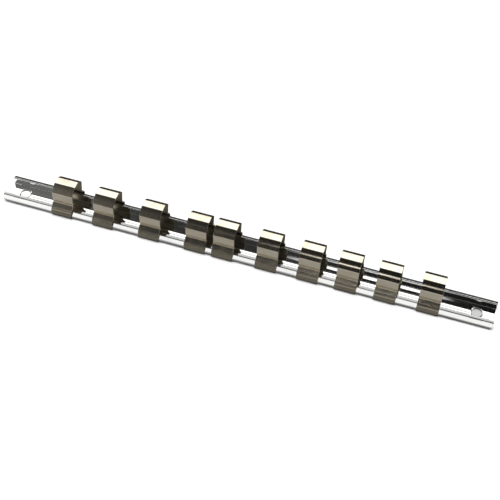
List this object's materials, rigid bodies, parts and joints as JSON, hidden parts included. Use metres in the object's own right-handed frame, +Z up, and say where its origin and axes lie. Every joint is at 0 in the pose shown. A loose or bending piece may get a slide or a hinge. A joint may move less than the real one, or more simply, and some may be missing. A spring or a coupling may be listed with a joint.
{
  "type": "socket rail",
  "caption": "Folded metal rail with screw holes and sliding arched spring clips that hold drive sockets by their square drives.",
  "frame": {"origin": "middle of the rail's length and width, on the plane of its flat underside", "axes": "+X along the rail, +Z up out of the mounting face through the clips' heads, +Y across the rail"},
  "size_m": [0.28, 0.0198, 0.0183],
  "materials": {
    "polished_chrome": "polished",
    "nickel_spring_steel": "bright nickel plate"
  },
  "bodies": {
    "rail": {"rail": "polished_chrome"},
    "clip_01": {"clip_01": "nickel_spring_steel"},
    "clip_02": {"clip_02": "nickel_spring_steel"},
    "clip_03": {"clip_03": "nickel_spring_steel"},
    "clip_04": {"clip_04": "nickel_spring_steel"},
    "clip_05": {"clip_05": "nickel_spring_steel"},
    "clip_06": {"clip_06": "nickel_spring_steel"},
    "clip_07": {"clip_07": "nickel_spring_steel"},
    "clip_08": {"clip_08": "nickel_spring_steel"},
    "clip_09": {"clip_09": "nickel_spring_steel"},
    "clip_10": {"clip_10": "nickel_spring_steel"}
  },
  "joints": [
    {"name": "clip_01_slide", "type": "slide", "parent": "rail", "child": "clip_01", "axis": [1, 0, 0], "range_m": [-0.0265, 0.006]},
    {"name": "clip_02_slide", "type": "slide", "parent": "rail", "child": "clip_02", "axis": [1, 0, 0], "range_m": [-0.006, 0.00745]},
    {"name": "clip_03_slide", "type": "slide", "parent": "rail", "child": "clip_03", "axis": [1, 0, 0], "range_m": [-0.00745, 0.0072]},
    {"name": "clip_04_slide", "type": "slide", "parent": "rail", "child": "clip_04", "axis": [1, 0, 0], "range_m": [-0.0072, 0.00175]},
    {"name": "clip_05_slide", "type": "slide", "parent": "rail", "child": "clip_05", "axis": [1, 0, 0], "range_m": [-0.00175, 0.00625]},
    {"name": "clip_06_slide", "type": "slide", "parent": "rail", "child": "clip_06", "axis": [1, 0, 0], "range_m": [-0.00625, 0.00555]},
    {"name": "clip_07_slide", "type": "slide", "parent": "rail", "child": "clip_07", "axis": [1, 0, 0], "range_m": [-0.00555, 0.0044]},
    {"name": "clip_08_slide", "type": "slide", "parent": "rail", "child": "clip_08", "axis": [1, 0, 0], "range_m": [-0.0044, 0.0046]},
    {"name": "clip_09_slide", "type": "slide", "parent": "rail", "child": "clip_09", "axis": [1, 0, 0], "range_m": [-0.0046, 0.00555]},
    {"name": "clip_10_slide", "type": "slide", "parent": "rail", "child": "clip_10", "axis": [1, 0, 0], "range_m": [-0.00555, 0.0256]}
  ]
}
